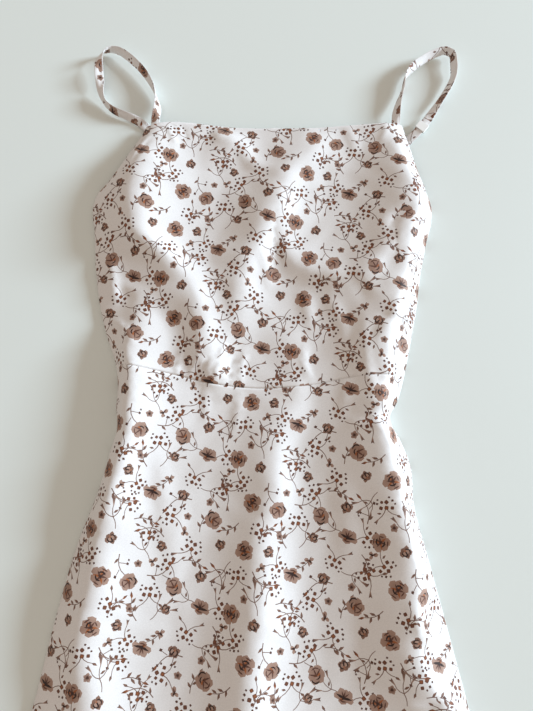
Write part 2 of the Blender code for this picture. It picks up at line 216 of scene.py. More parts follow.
def turned_flower():
    """A blossom seen from one side, its inner petals edged with dark lines."""
    back = ((-16, 0.50, 0.54, 0.40), (36, 0.54, 0.46, 0.38), (92, 0.36, 0.46, 0.42))
    back += ((158, 0.38, 0.48, 0.38), (226, 0.38, 0.46, 0.42), (286, 0.42, 0.46, 0.40))
    shapes = [petal(*row, MID_PETAL, PALE_PETAL, reach=0.95) for row in back]
    shapes.append(petal(182, 0.34, 0.30, 0.26, PALE_PETAL, MID_PETAL, 6, reach=0.6))
    shapes.append(curl(-0.30, 0.10, 0.44, 80, 250, 0.15))
    shapes.append(curl(-0.02, -0.06, 0.34, 150, 330, 0.13))
    shapes.append(curl(0.34, 0.04, 0.44, -70, 70, 0.12, DEEP_BROWN))
    shapes.append(petal(300, 0.20, 0.26, 0.13, RUST, RUST, 5))
    shapes.append(petal(80, 0.12, 0.24, 0.12, LINE_BROWN, RUST, 5))
    shapes += [streak(angle, 0.1, 0.80, 0.07, DEEP_BROWN, 0.05) for angle in (12, -42, 68)]
    return shapes


def cup_flower():
    """A blossom seen from the side, its petals fanned above its base."""
    fan = ((2, 0.56, 0.46, 0.30), (178, 0.56, 0.46, 0.30), (48, 0.52, 0.44, 0.36))
    fan += ((132, 0.52, 0.44, 0.36), (90, 0.40, 0.42, 0.36), (270, 0.20, 0.36, 0.46))
    shapes = [petal(*row, MID_PETAL, PALE_PETAL, reach=0.85) for row in fan]
    shapes.append(streak(4, 0.05, 0.86, 0.11, LINE_BROWN, 0.05))
    shapes.append(streak(178, 0.05, 0.84, 0.11, LINE_BROWN, -0.05))
    shapes += [streak(angle, 0.1, 0.70, 0.07, DEEP_BROWN) for angle in (58, 96, 126)]
    shapes.append(petal(232, 0.20, 0.24, 0.15, RUST, RUST, 5))
    shapes.append(curl(0.0, 0.06, 0.44, 215, 325, 0.13, DEEP_BROWN))
    shapes.append(floret((0.0, 0.02), 0.28, 0, LINE_BROWN, LINE_BROWN, 3, 0.5))
    return shapes


def small_flower():
    """A half-open blossom, its petals folded over each other and edged dark."""
    ring = ((10, 0.50, 0.48, 0.40), (95, 0.34, 0.54, 0.36), (170, 0.44, 0.40, 0.44))
    ring += ((245, 0.46, 0.50, 0.36), (310, 0.40, 0.44, 0.36))
    shapes = [petal(*row, DEEP_BROWN, MID_PETAL, 6, reach=0.9) for row in ring]
    shapes.append(petal(26, 0.28, 0.42, 0.28, PALE_PETAL, PALE_PETAL, 6))
    shapes.append(petal(196, 0.30, 0.42, 0.30, PALE_PETAL, MID_PETAL, 6))
    shapes.append(petal(286, 0.30, 0.30, 0.16, RUST, MID_PETAL, 5))
    shapes.append(curl(0.10, 0.08, 0.52, -40, 130, 0.20))
    shapes.append(curl(-0.16, -0.02, 0.50, 120, 300, 0.18))
    shapes.append(streak(100, -0.1, 0.78, 0.10))
    return shapes


def star_flower():
    """A small flower with blunt separate petals and a dark eye."""
    ring = ((0, 0.52, 0.46, 0.42), (70, 0.46, 0.42, 0.40), (146, 0.54, 0.42, 0.38))
    ring += ((214, 0.44, 0.44, 0.42), (290, 0.52, 0.44, 0.40))
    shapes = [petal(*row, DEEP_BROWN, PALE_PETAL, 5) for row in ring]
    shapes.append(floret((0, 0), 0.40, 36, LINE_BROWN, DEEP_BROWN, 3, 0.6))
    return shapes


def twin_blossom():
    """Two or three petals and a dark eye."""
    lobes = ((0, 0.55, 0.5, 0.42), (128, 0.46, 0.48, 0.40), (214, 0.54, 0.46, 0.34))
    shapes = [petal(*row, MID_PETAL, PALE_PETAL, 6) for row in lobes]
    shapes.append(streak(8, -0.3, 0.9, 0.16, DEEP_BROWN, 0.05))
    shapes.append(streak(136, 0.0, 0.8, 0.16, LINE_BROWN, 0.05))
    return shapes


def cluster():
    """Florets close together, with dots on stalks and a tail that ends in a bud."""
    shapes = [stroke((0, 0), (-12, -9), 0.10, 1.0, 0.7), stroke((0, 0), (8, -10), -0.12, 0.9, 0.7)]
    shapes.append(trumpet((-11.6, -8.7), 214, 6.2, 3.6))
    shapes.append(leaf((7.8, -9.6), -48, 6.4, 2.8))
    shapes.append(leaf((-6.4, -4.6), 160, 5.2, 2.4))
    heads = ((0.5, 0.0, 2.6), (-5.2, 1.2, 2.4), (2.2, 5.6, 2.5), (6.2, -1.8, 2.2), (-2.6, 6.8, 1.9))
    for x, y, size in heads:
        shapes.append(floret((x, y), size, 33 * x))
    dots = ((8.6, 5.4, 1.5), (6.4, 9.6, 1.3), (-7.8, 6.6, 1.5), (-6.0, 10.4, 1.2), (10.2, 1.4, 1.2))
    for x, y, size in dots:
        shapes.append(blot((x, y), size))
    return shapes


def sprig():
    """Pointed leaves in turn along a thin stem."""
    shapes = [stroke((0, 0), (21, 2), 0.12, 1.0, 0.7, steps=4)]
    leaves = ((4.5, 1.7, 62, 7.4), (8.5, 2.8, -34, 7.6), (13, 3.2, 52, 7.2), (16.5, 2.8, -46, 6.8))
    for x, y, angle, length in leaves:
        shapes.append(leaf((x, y), angle, length, 3.0))
    shapes.append(leaf((20.6, 2.1), -4, 7.4, 2.8, RUST, DEEP_BROWN))
    return shapes


def trail():
    """A long bowed stem that ends in a slender bud, with a few dots beside it."""
    shapes = [stroke((0, 0), (27, 3), -0.2, 1.1, 0.8, steps=5)]
    shapes.append(stroke((8, -3.6), (12, 4), 0.1, 0.8, 0.7, steps=1))
    shapes.append(leaf((25.6, 1.8), 34, 9.0, 3.0, RUST, DEEP_BROWN))
    shapes.append(stroke((15, -4.8), (20, -10), 0.1, 0.8, 0.6, steps=1))
    shapes += [blot((12.6, 5.0), 1.6), blot((20.5, -11), 1.8), blot((9.4, 7.4), 1.2)]
    shapes.append(leaf((4.0, -2.0), -62, 7.0, 2.8))
    return shapes


def bud_spray():
    """Trumpet buds on thin stems that part from one foot."""
    shapes = [stroke((0, 0), (4, 12), 0.08, 0.9, 0.7), stroke((0, 0), (11, 9), -0.12, 0.9, 0.7)]
    shapes += [stroke((0, 0), (-6, 10), 0.14, 0.9, 0.7), stroke((0, 0), (-1, -12), 0.08, 0.9, 0.7)]
    shapes += [trumpet((3.6, 11.0), 74, 9.0, 4.0), trumpet((10.2, 8.4), 40, 8.4, 3.8)]
    shapes += [trumpet((-5.6, 9.2), 114, 7.4, 3.6), leaf((1.2, 4.0), 12, 6.4, 2.6)]
    return shapes


MOTIFS = {
    "open": open_flower(),
    "turned": turned_flower(),
    "cup": cup_flower(),
    "small": small_flower(),
    "star": star_flower(),
    "twin": twin_blossom(),
    "cluster": cluster(),
    "sprig": sprig(),
    "trail": trail(),
    "buds": bud_spray(),
}
# Each row is a motif, its place in the repeat, its size (a flower's radius, or 1
# for the sprays, which are drawn at full size) and its turn in degrees.
CHART = (
    ("trail", 70, 134, 1.05, 20), ("trail", 114, 54, 1.05, 195), ("trail", 26, 64, 1.0, -35),
    ("trail", 150, 118, 1.0, 100), ("trail", 86, 14, 1.0, 160), ("trail", 40, 156, 1.0, -70),
    ("sprig", 62, 88, 1.1, 100), ("sprig", 108, 150, 1.05, -20), ("sprig", 144, 86, 1.0, -75),
    ("sprig", 8, 112, 1.0, 200), ("sprig", 52, 32, 1.05, -15), ("sprig", 124, 20, 1.0, 60),
    ("sprig", 90, 80, 0.95, 215), ("sprig", 32, 96, 0.95, 40),
    ("buds", 30, 34, 1.05, 20), ("buds", 84, 98, 1.0, -35), ("buds", 154, 142, 1.0, 150),
    ("buds", 134, 64, 0.95, -100), ("buds", 66, 0, 0.95, 35), ("buds", 116, 110, 0.9, 70),
    ("cluster", 74, 114, 1.05, 10), ("cluster", 34, 106, 1.05, 140), ("cluster", 152, 66, 1.1, 60),
    ("cluster", 46, 48, 1.0, -60), ("cluster", 94, 36, 1.05, 95), ("cluster", 70, 18, 1.0, 200),
    ("cluster", 116, 2, 1.05, -20), ("cluster", 150, 104, 1.0, 250), ("cluster", 10, 56, 1.0, 20),
    ("cluster", 116, 78, 1.0, 170), ("cluster", 8, 156, 1.0, -110), ("cluster", 94, 146, 1.0, 75),
    ("cluster", 52, 70, 0.95, 230),
    ("open", 22, 134, 11.0, 15), ("turned", 52, 128, 10.6, 200), ("turned", 100, 122, 11.0, 100),
    ("cup", 129, 102, 11.0, -20), ("open", 16, 84, 10.8, 80), ("cup", 70, 62, 11.0, 160),
    ("turned", 138, 34, 11.2, -50), ("open", 4, 20, 10.6, 130),
    ("small", 128, 134, 7.6, 0), ("small", 42, 84, 7.2, 70), ("small", 104, 58, 7.8, 130),
    ("small", 30, 12, 7.4, 200), ("small", 84, 164, 6.8, 100), ("small", 148, 8, 7.0, 20),
    ("small", 92, 100, 6.6, 290),
    ("star", 18, 36, 5.0, -60), ("star", 60, 146, 4.8, 20), ("star", 134, 52, 5.0, 80),
    ("star", 54, 100, 4.6, 150), ("star", 110, 36, 4.8, 10),
    ("twin", 76, 148, 5.6, 40), ("twin", 88, 76, 5.4, 170), ("twin", 108, 20, 5.6, 100),
    ("twin", 156, 86, 5.4, 15), ("twin", 34, 68, 5.4, 220),
)


def placed(shape, at, size, turn):
    """A shape of a motif, set at its place in the repeat."""
    points = turned(shape.points * size, turn) + at
    centre = turned([np.array(shape.centre) * size], turn)[0] + at
    return Shape(points, centre, shape.reach * size, shape.inner, shape.outer)


def area_of(points):
    """The area inside an outline, negative where its corners run clockwise."""
    x, y = points.T
    return np.sum(x * np.roll(y, -1) - np.roll(x, -1) * y) / 2


def anticlockwise(shape):
    """The same shape with its corners in the order that the cutting needs."""
    return shape if area_of(shape.points) > 0 else shape._replace(points=shape.points[::-1])


repeat_shapes = [
    anticlockwise(placed(shape, (x, y), size, turn))
    for name, x, y, size, turn in CHART
    for shape in MOTIFS[name]
]


def repeats_between(low, high):
    """The repeats that can reach a stretch of cloth."""
    return range(math.floor(low / REPEAT) - 1, math.ceil(high / REPEAT) + 1)


def print_over(low, high, shift):
    """Every shape of the print that meets a rectangle of cloth, in millimetres."""
    shapes = []
    for column in repeats_between(low[0] - shift[0], high[0] - shift[0]):
        rise = shift[1] + column * REPEAT / 2
        for row in repeats_between(low[1] - rise, high[1] - rise):
            move = np.array([shift[0] + column * REPEAT, rise + row * REPEAT])
            for shape in repeat_shapes:
                points = shape.points + move
                if (points.max(axis=0) > low).all() and (points.min(axis=0) < high).all():
                    shapes.append(shape._replace(points=points, centre=shape.centre + move))
    return shapes


printed_cloth = bpy.data.materials.new("printed_cloth")
printed_cloth.use_nodes = True
nodes, links = printed_cloth.node_tree.nodes, printed_cloth.node_tree.links
viscose = nodes["Principled BSDF"]
viscose.inputs["Roughness"].default_value = 0.62
viscose.inputs["Sheen Weight"].default_value = 0.12
viscose.inputs["Sheen Roughness"].default_value = 0.4
viscose.inputs["Specular IOR Level"].default_value = 0.3
inks = nodes.new("ShaderNodeAttribute")
inks.attribute_name = "print"
place_on_cloth = nodes.new("ShaderNodeTexCoord")
grain = nodes.new("ShaderNodeTexNoise")
grain.inputs["Scale"].default_value = 900.0
grain.inputs["Detail"].default_value = 2.0
links.new(place_on_cloth.outputs["Object"], grain.inputs["Vector"])
uneven = nodes.new("ShaderNodeMapRange")
uneven.inputs["From Min"].default_value = 0.3
uneven.inputs["From Max"].default_value = 0.7
uneven.inputs["To Min"].default_value = 0.93
uneven.inputs["To Max"].default_value = 1.03
links.new(grain.outputs["Fac"], uneven.inputs["Value"])
dye = nodes.new("ShaderNodeMix")
dye.data_type = "RGBA"
dye.blend_type = "MULTIPLY"
dye.inputs["Factor"].default_value = 1.0
links.new(inks.outputs["Color"], dye.inputs["A"])
links.new(uneven.outputs["Result"], dye.inputs["B"])
links.new(dye.outputs["Result"], viscose.inputs["Base Color"])
warp = nodes.new("ShaderNodeTexWave")
warp.bands_direction = "X"
warp.inputs["Scale"].default_value = 700.0
warp.inputs["Distortion"].default_value = 1.5
weft = nodes.new("ShaderNodeTexWave")
weft.bands_direction = "Y"
weft.inputs["Scale"].default_value = 700.0
weft.inputs["Distortion"].default_value = 1.5
links.new(place_on_cloth.outputs["Object"], warp.inputs["Vector"])
links.new(place_on_cloth.outputs["Object"], weft.inputs["Vector"])
crossing = nodes.new("ShaderNodeMath")
crossing.operation = "MULTIPLY"
links.new(warp.outputs["Fac"], crossing.inputs[0])
links.new(weft.outputs["Fac"], crossing.inputs[1])
weave = nodes.new("ShaderNodeBump")
weave.inputs["Strength"].default_value = 0.12
weave.inputs["Distance"].default_value = 0.0002
links.new(crossing.outputs["Value"], weave.inputs["Height"])
links.new(weave.outputs["Normal"], viscose.inputs["Normal"])

# Front of the bodice
# The front is cut in one with the two cups, from the waist seam to a straight
# neckline, and it lies caved in between soft rims. The neckline is turned in once
# and faced, and the lower edge is sewn to the skirt.
MM = 0.001
GARMENT_AT = (-0.01335, 0.12721)
BACK_SKIN = 1.2 * MM
SEAM_GAP = 0.3 * MM
CLOTH_OUT = 1.2 * MM
CLOTH_THICK = 0.8 * MM
BACK_TOP = 238 * MM
BODICE_LOFT = 5.5 * MM
SKIRT_LOFT = 4.5 * MM
WAIST_FADE = 60 * MM
ARMHOLE_LOFT = 4.5 * MM
ARMHOLE_BELOW = 12 * MM
ARMHOLE_ABOVE = 14 * MM
SIDE_ROLL = 24 * MM
NECK_SETTLE = 0.35
NECK_FADE = 30 * MM
LOWEST = 1.0 * MM
CREST_ROUND = 6.0 * MM
CREST_SHAPE = 1.4
SEAM_DEEP = 1.9 * MM
SEAM_WIDE = 1.0 * MM
NECK_ROLL = 1.2 * MM
NECK_ROLL_WIDE = 1.8 * MM
EDGE_ROWS = (0.5, 0.9, 1.4, 2.0, 2.8, 4.0)
SLOPE_STEP = 0.25 * MM
ROW_STEP = 2.5 * MM
EDGE_STEP = 4.0 * MM
ACROSS_STEPS = 480
PRINT_GRID = 6.0
INSIDE_GRID = 12.0
BODICE_PRINT_AT = (34.0, 12.0)

# Each row is a height above the waist seam and the two sides there.
OUTLINE = (
    (335, -150, 167), (300, -163, 178), (269, -180, 187), (240, -197, 198), (224, -210, 204),
    (207, -214, 204), (175, -209, 197), (137, -204, 190), (90, -195, 184), (45, -181, 176),
    (5, -165, 168), (-20, -161, 161), (-40, -161, 152), (-62, -157, 163), (-90, -162, 175),
    (-135, -172, 179), (-190, -189, 194), (-270, -205, 216), (-360, -219, 240),
    (-520, -253, 278), (-700, -291, 318),
)
NECKLINE = ((-156, 316), (-141, 321), (-43, 321), (11, 322), (55, 325), (100, 330), (168, 334))
WAIST_SEAM = ((-170, 10), (-100, 0), (-50, -9), (0, -12), (60, -6), (110, 5), (170, 10))

# A fold runs down the dress or across it. Each point of its crest gives the
# place along that run, the place across it, the height, and how far the fold
# reaches there to the lower and to the higher side.
Fold = namedtuple("Fold", "name runs crest")
FOLDS = (
    Fold("left cup rim", "down", (
        (325, -146, 6, 24, 32), (291, -150, 15, 26, 40), (270, -154, 19, 28, 44),
        (240, -157, 22, 32, 46), (213, -158, 23, 34, 44), (190, -155, 23, 32, 42),
        (165, -148, 22, 30, 34), (145, -124, 18, 40, 24), (119, -99, 15, 50, 28),
        (95, -82, 15, 46, 25), (70, -72, 13, 22, 22), (46, -66, 12, 16, 21),
        (22, -61, 11, 17, 20), (0, -52, 7, 14, 18), (-28, -44, 0, 14, 18))),
    Fold("left side", "down", (
        (110, -147, 0, 20, 30), (70, -141, 9, 18, 28), (46, -144, 13, 18, 36),
        (22, -149, 17, 16, 36), (0, -149, 20, 16, 38), (-30, -146, 22, 16, 36),
        (-60, -149, 25, 16, 36), (-92, -153, 26, 17, 36), (-138, -158, 23, 20, 32),
        (-180, -158, 19, 22, 38), (-219, -160, 22, 24, 34), (-259, -166, 21, 24, 34),
        (-299, -168, 19, 26, 32), (-342, -158, 18, 34, 30), (-500, -190, 17, 34, 36),
        (-700, -220, 16, 36, 44))),
    Fold("between the cups", "down", (
        (322, 52, 5, 30, 28), (291, 50, 10, 38, 28), (263, 27, 13, 40, 30),
        (240, 16, 15, 42, 28), (222, 10, 16, 42, 26), (197, 3, 16, 38, 27),
        (172, -6, 15, 32, 18), (148, -19, 14, 38, 22), (119, -26, 12, 26, 20),
        (95, -27, 10, 17, 20), (70, -28, 5, 16, 22), (38, -30, 0, 16, 20))),
    Fold("left cup top", "down", (
        (318, -52, 0, 24, 22), (300, -52, 6, 26, 22), (280, -56, 5, 26, 24),
        (258, -62, 0, 26, 26))),
    Fold("right side", "down", (
        (333, 146, 7, 26, 24), (294, 160, 14, 34, 26), (265, 168, 18, 42, 26),
        (234, 175, 20, 48, 28), (200, 170, 21, 46, 30), (170, 165, 21, 46, 30),
        (145, 164, 20, 50, 26), (119, 156, 20, 62, 24), (95, 154, 20, 62, 22),
        (70, 148, 20, 54, 22), (46, 141, 19, 46, 22), (22, 143, 18, 46, 20),
        (-5, 136, 18, 44, 20), (-25, 138, 20, 44, 18), (-50, 141, 23, 48, 16),
        (-87, 147, 25, 52, 18), (-140, 160, 26, 54, 18), (-191, 170, 26, 54, 20),
        (-242, 172, 26, 54, 22), (-290, 175, 22, 52, 24), (-340, 206, 19, 54, 24),
        (-500, 232, 18, 60, 26), (-700, 262, 17, 66, 28))),
    Fold("skirt centre", "down", (
        (70, 36, 0, 26, 20), (46, 38, 3, 26, 18), (0, 43, 4, 32, 20),
        (-25, 38, 6, 34, 20), (-59, 22, 9, 34, 20), (-92, 20, 11, 38, 18),
        (-136, 20, 13, 27, 20), (-178, 9, 14, 27, 26), (-219, 11, 15, 28, 24),
        (-259, 10, 19, 30, 27), (-299, 6, 19, 34, 27), (-342, 4, 19, 34, 27),
        (-450, -14, 15, 38, 32), (-700, -42, 14, 42, 36))),
    Fold("right cup rim", "across", (
        (12, 172, 0, 16, 26), (24, 157, 5, 16, 26), (50, 138, 7, 16, 26),
        (93, 129, 8, 16, 26), (131, 142, 7, 16, 26), (155, 168, 0, 16, 26))),
)

# Small creases: two ends, how far the crease bows to its left, its half width and
# its height, which is negative for a trough.
Crease = namedtuple("Crease", "x0 y0 x1 y1 bow width height")
CREASES = (
    Crease(-94, 0, -87, 30, 0.05, 3.5, 1.4),
    Crease(-80, -3, -69, 40, -0.05, 3.5, 1.6),
    Crease(-64, -5, -57, 28, 0.05, 3.0, -1.2),
    Crease(-50, -6, -40, 42, 0.0, 3.5, 1.5),
    Crease(-34, -8, -28, 26, 0.05, 3.0, -1.2),
    Crease(-20, -8, -15, 34, 0.05, 4.0, 1.3),
    Crease(62, -4, 52, 40, 0.08, 5.0, 1.3),
    Crease(-60, -12, -58, -52, 0.0, 5.0, 1.0),
    Crease(-22, -14, -26, -66, 0.05, 6.0, 1.3),
    Crease(100, 2, 94, -44, 0.05, 6.0, 1.2),
    Crease(152, -30, 110, -44, 0.1, 6.0, -2.4),
    Crease(152, -54, 104, -48, -0.1, 6.0, 2.0),
    Crease(152, -20, 118, -20, 0.1, 5.0, 1.4),
    Crease(120, 76, 132, -16, -0.06, 8.0, 2.6),
    Crease(158, 100, 128, 44, 0.08, 7.0, 2.2),
    Crease(136, 74, 168, 68, 0.05, 6.0, -2.4),
    Crease(146, 186, 182, 212, 0.1, 7.0, -3.0),
    Crease(150, 168, 186, 182, 0.1, 7.0, 2.2),
    Crease(142, 26, 162, 34, 0.0, 5.0, -1.6),
    Crease(146, -96, 168, -84, 0.0, 7.0, -1.8),
    Crease(184, -256, 214, -224, 0.1, 9.0, -3.2),
    Crease(168, -228, 200, -276, -0.1, 8.0, 2.4),
    Crease(210, -306, 176, -330, 0.1, 9.0, -3.0),
    Crease(196, -344, 232, -322, 0.1, 9.0, 2.4),
    Crease(-189, 142, -174, 82, 0.06, 7.0, 2.6),
    Crease(-178, 62, -142, 30, 0.08, 6.0, 2.4),
    Crease(-200, 174, -172, 146, 0.1, 6.0, 2.2),
    Crease(-180, 26, -148, 0, 0.1, 6.0, -2.0),
    Crease(-176, 108, -150, 88, -0.1, 6.0, -1.8),
    Crease(-72, 314, -34, 298, -0.1, 11.0, 3.0),
    Crease(-36, 300, -4, 258, -0.12, 10.0, 2.8),
    Crease(-130, 318, -116, 282, 0.05, 4.0, 1.3),
    Crease(-150, 304, -184, 250, 0.06, 4.0, 1.4),
    Crease(-142, 296, -168, 246, -0.06, 4.0, -1.2),
    Crease(-172, 282, -196, 232, 0.04, 4.0, -1.2),
    Crease(-112, 320, -104, 296, 0.05, 4.0, -1.0),
    Crease(148, 330, 138, 300, 0.05, 5.0, 1.2),
    Crease(96, 328, 108, 286, 0.08, 8.0, 1.6),
    Crease(80, 98, 100, 40, 0.06, 8.0, 1.6),
    Crease(44, 108, 60, 56, 0.06, 8.0, 1.6),
    Crease(96, 130, 124, 96, 0.05, 8.0, -1.5),
    Crease(-6, 156, 8, 108, 0.05, 6.0, 1.4),
    Crease(-106, -90, -96, -190, 0.03, 10.0, 1.8),
    Crease(-74, -120, -84, -240, -0.03, 12.0, 1.8),
    Crease(96, -100, 104, -210, 0.03, 14.0, 2.0),
    Crease(118, -230, 110, -330, 0.04, 14.0, -2.0),
    Crease(-104, -400, -130, -560, 0.04, 16.0, 3.0),
    Crease(96, -420, 132, -600, -0.04, 18.0, 3.0),
    Crease(-150, -520, -176, -690, 0.02, 16.0, -2.6),
    Crease(20, -500, 34, -660, 0.03, 16.0, 2.6),
)
# The unevenness of washed cloth: its height, the lengths of its two crossing
# waves, and how slowly they sway and slant.
UNEVEN_HIGH = 0.30 * MM
UNEVEN_ALONG = 11.0 * MM
UNEVEN_ACROSS = 9.0 * MM
UNEVEN_SWAY = 21.0 * MM
UNEVEN_SLANT = 29.0 * MM


def smooth(at, rows, column):
    """Read one column of a table as a smooth curve over its first column."""
    table = np.array(sorted(rows, key=lambda row: row[0]), dtype=float) * MM
    knots, values = table[:, 0], table[:, column]
    slopes = np.gradient(values, knots)
    inside = np.clip(at, knots[0], knots[-1])
    span = np.clip(np.searchsorted(knots, inside) - 1, 0, len(knots) - 2)
    width = knots[span + 1] - knots[span]
    t = (inside - knots[span]) / width
    return (
        (1 + 2 * t) * (1 - t) ** 2 * values[span]
        + t * (1 - t) ** 2 * width * slopes[span]
        + t**2 * (3 - 2 * t) * values[span + 1]
        + t**2 * (t - 1) * width * slopes[span + 1]
    )


def left_side(y):
    return smooth(y, OUTLINE, 1)


def right_side(y):
    return smooth(y, OUTLINE, 2)


def neckline(x):
    return smooth(x, NECKLINE, 1)


def waist_seam(x):
    return smooth(x, WAIST_SEAM, 1)


def step_between(value, low, high):
    """Go smoothly from 0 at low to 1 at high."""
    t = np.clip((value - low) / (high - low), 0, 1)
    return t * t * (3 - 2 * t)


def fold_height(fold, x, y):
    """Height that one fold adds: a ridge with a rounded crest."""
    along, across = (y, x) if fold.runs == "down" else (x, y)
    height = np.maximum(smooth(along, fold.crest, 2), 0)
    ends = sorted(point[0] * MM for point in fold.crest)
    inside = (along >= ends[0]) & (along <= ends[-1])
    away = across - smooth(along, fold.crest, 1)
    reach = np.where(away < 0, smooth(along, fold.crest, 3), smooth(along, fold.crest, 4))
    beyond = np.hypot(away, CREST_ROUND) - CREST_ROUND
    return np.where(inside, height, 0) * np.exp(-((beyond / reach) ** CREST_SHAPE))


def crease_height(crease, x, y):
    """Height that one small crease adds, fading out at its two ends."""
    run_x, run_y = (crease.x1 - crease.x0) * MM, (crease.y1 - crease.y0) * MM
    length = math.hypot(run_x, run_y)
    t = ((x - crease.x0 * MM) * run_x + (y - crease.y0 * MM) * run_y) / length**2
    away = ((y - crease.y0 * MM) * run_x - (x - crease.x0 * MM) * run_y) / length
    inside = np.clip(t, 0, 1)
    away = away - crease.bow * length * 4 * inside * (1 - inside)
    fade = step_between(t, -0.15, 0.35) * step_between(-t, -1.15, -0.65)
    return crease.height * MM * fade * np.exp(-((away / (crease.width * MM)) ** 2))


def unevenness(x, y):
    """Small soft hollows that follow no pattern."""
    sway = 2.1 * np.sin(y / UNEVEN_SWAY + 0.6)
    first = np.sin(x / UNEVEN_ACROSS + sway + y / UNEVEN_SLANT)
    sway = 1.7 * np.sin(x / UNEVEN_SWAY)
    second = np.sin(y / UNEVEN_ALONG + sway - x / UNEVEN_SLANT)
    return UNEVEN_HIGH * first * second


def plain_lift(x, y, fine=0.0):
    """Height of the front cloth in its large folds, with any finer form added."""
    loft = SKIRT_LOFT + (BODICE_LOFT - SKIRT_LOFT) * step_between(y, -WAIST_FADE, WAIST_FADE)
    folded = sum(fold_height(fold, x, y) for fold in FOLDS)
    settled = 1 - NECK_SETTLE * np.exp(-(((neckline(x) - y) / NECK_FADE) ** 2))
    body = np.maximum(loft + folded * settled + fine, LOWEST)
    edge = ARMHOLE_LOFT * step_between(y, BACK_TOP - ARMHOLE_BELOW, BACK_TOP + ARMHOLE_ABOVE)
    inset = np.minimum(x - left_side(y), right_side(y) - x)
    roll = np.sqrt(1 - (1 - np.clip(inset / SIDE_ROLL, 0, 1)) ** 2)
    return edge + roll * np.maximum(body - edge, 0)


def front_lift(x, y):
    """Height of the front cloth's inner face above the top of the back."""
    creased = sum(crease_height(crease, x, y) for crease in CREASES)
    seam = SEAM_DEEP * np.exp(-(((y - waist_seam(x)) / SEAM_WIDE) ** 2))
    turned_in = NECK_ROLL * np.exp(-(((neckline(x) - y) / NECK_ROLL_WIDE) ** 2))
    return plain_lift(x, y, creased + unevenness(x, y) - seam - turned_in)


def front_normal(x, y):
    """The direction that the front cloth faces."""
    rise_x = front_lift(x + SLOPE_STEP, y) - front_lift(x - SLOPE_STEP, y)
    rise_y = front_lift(x, y + SLOPE_STEP) - front_lift(x, y - SLOPE_STEP)
    normal = np.stack([-rise_x, -rise_y, np.full_like(x, 2 * SLOPE_STEP)], axis=-1)
    return normal / np.linalg.norm(normal, axis=-1, keepdims=True)


def on_front(x, y):
    """A point of the front cloth's outer face, and the direction it faces."""
    normal = front_normal(x, y)
    inner = np.stack([x, y, BACK_SKIN + SEAM_GAP + front_lift(x, y)], axis=-1)
    return inner + CLOTH_OUT * normal, normal


Lay = namedtuple("Lay", "rows share length left right")


def lay_of(low, high):
    """How much cloth lies between the left side and each place, row by row."""
    rows = np.arange(low, high + ROW_STEP, ROW_STEP)
    share = (1 - np.cos(np.linspace(0, math.pi, ACROSS_STEPS + 1))) / 2
    y = rows[:, None] + 0 * share
    x = left_side(y) * (1 - share) + right_side(y) * share
    steps = np.hypot(np.diff(x, axis=1), np.diff(front_lift(x, y), axis=1))
    length = np.concatenate([np.zeros((len(rows), 1)), np.cumsum(steps, axis=1)], axis=1)
    middle = np.array([np.interp(0, x[i], length[i]) for i in range(len(rows))])
    whole = length[:, -1]
    return Lay(rows, share, length / whole[:, None], -middle, whole - middle)


def between_rows(lay, at, y, forward):
    """Turn shares of the width into shares of the cloth's length, or back."""
    place = np.clip((y - lay.rows[0]) / ROW_STEP, 0, len(lay.rows) - 1.001)
    low = place.astype(int)
    part = place - low
    found = np.empty_like(at)
    for i in np.unique(low):
        here = low == i
        both = []
        for row in (i, i + 1):
            given, wanted = (lay.share, lay.length[row]) if forward else (lay.length[row], lay.share)
            both.append(np.interp(at[here], given, wanted))
        found[here] = both[0] * (1 - part[here]) + both[1] * part[here]
    return found


def spread(lay, x, y):
    """Where a place on the lying dress is on the flat cloth, in millimetres."""
    share = (x - left_side(y)) / (right_side(y) - left_side(y))
    part = between_rows(lay, share, y, True)
    left, right = np.interp(y, lay.rows, lay.left), np.interp(y, lay.rows, lay.right)
    return np.stack([left + part * (right - left), y], axis=-1) / MM


def gathered_back(lay, flat):
    """The place on the lying dress of each point of the flat cloth."""
    p, y = flat[:, 0] * MM, flat[:, 1] * MM
    left, right = np.interp(y, lay.rows, lay.left), np.interp(y, lay.rows, lay.right)
    part = np.clip((p - left) / (right - left), 0, 1)
    share = between_rows(lay, part, y, False)
    return left_side(y) * (1 - share) + right_side(y) * share, y


def panel_loop(bottom, top, widen=0.0):
    """The edge of a panel: along the bottom, up the right, back and down."""
    corners = []
    for edge, side in ((bottom, left_side), (bottom, right_side), (top, right_side), (top, left_side)):
        y = edge(np.zeros(1))
        for _ in range(12):
            x = side(y) + (widen if side is right_side else -widen)
            y = edge(x)
        corners.append((x[0], y[0]))
    (x0, y0), (x1, y1), (x2, y2), (x3, y3) = corners
    count = int(abs(x1 - x0) / EDGE_STEP)
    along = np.linspace(x0, x1, count + 1)
    loop = [np.stack([along, bottom(along)], axis=-1)[:-1]]
    heights = np.arange(math.ceil(y1 / ROW_STEP) + 0.0, y2 / ROW_STEP) * ROW_STEP
    heights = np.concatenate([[y1], heights[heights > y1 + 0.3 * ROW_STEP]])
    loop.append(np.stack([right_side(heights) + widen, heights], axis=-1))
    count = int(abs(x3 - x2) / EDGE_STEP)
    along = np.linspace(x2, x3, count + 1)
    loop.append(np.stack([along, top(along)], axis=-1)[:-1])
    heights = np.arange(math.ceil(y0 / ROW_STEP) + 0.0, y3 / ROW_STEP) * ROW_STEP
    heights = heights[(heights > y0 + 0.3 * ROW_STEP) & (heights < y3 - 0.3 * ROW_STEP)]
    heights = np.concatenate([heights, [y3]])[::-1]
    loop.append(np.stack([left_side(heights) - widen, heights], axis=-1))
    return np.concatenate(loop)


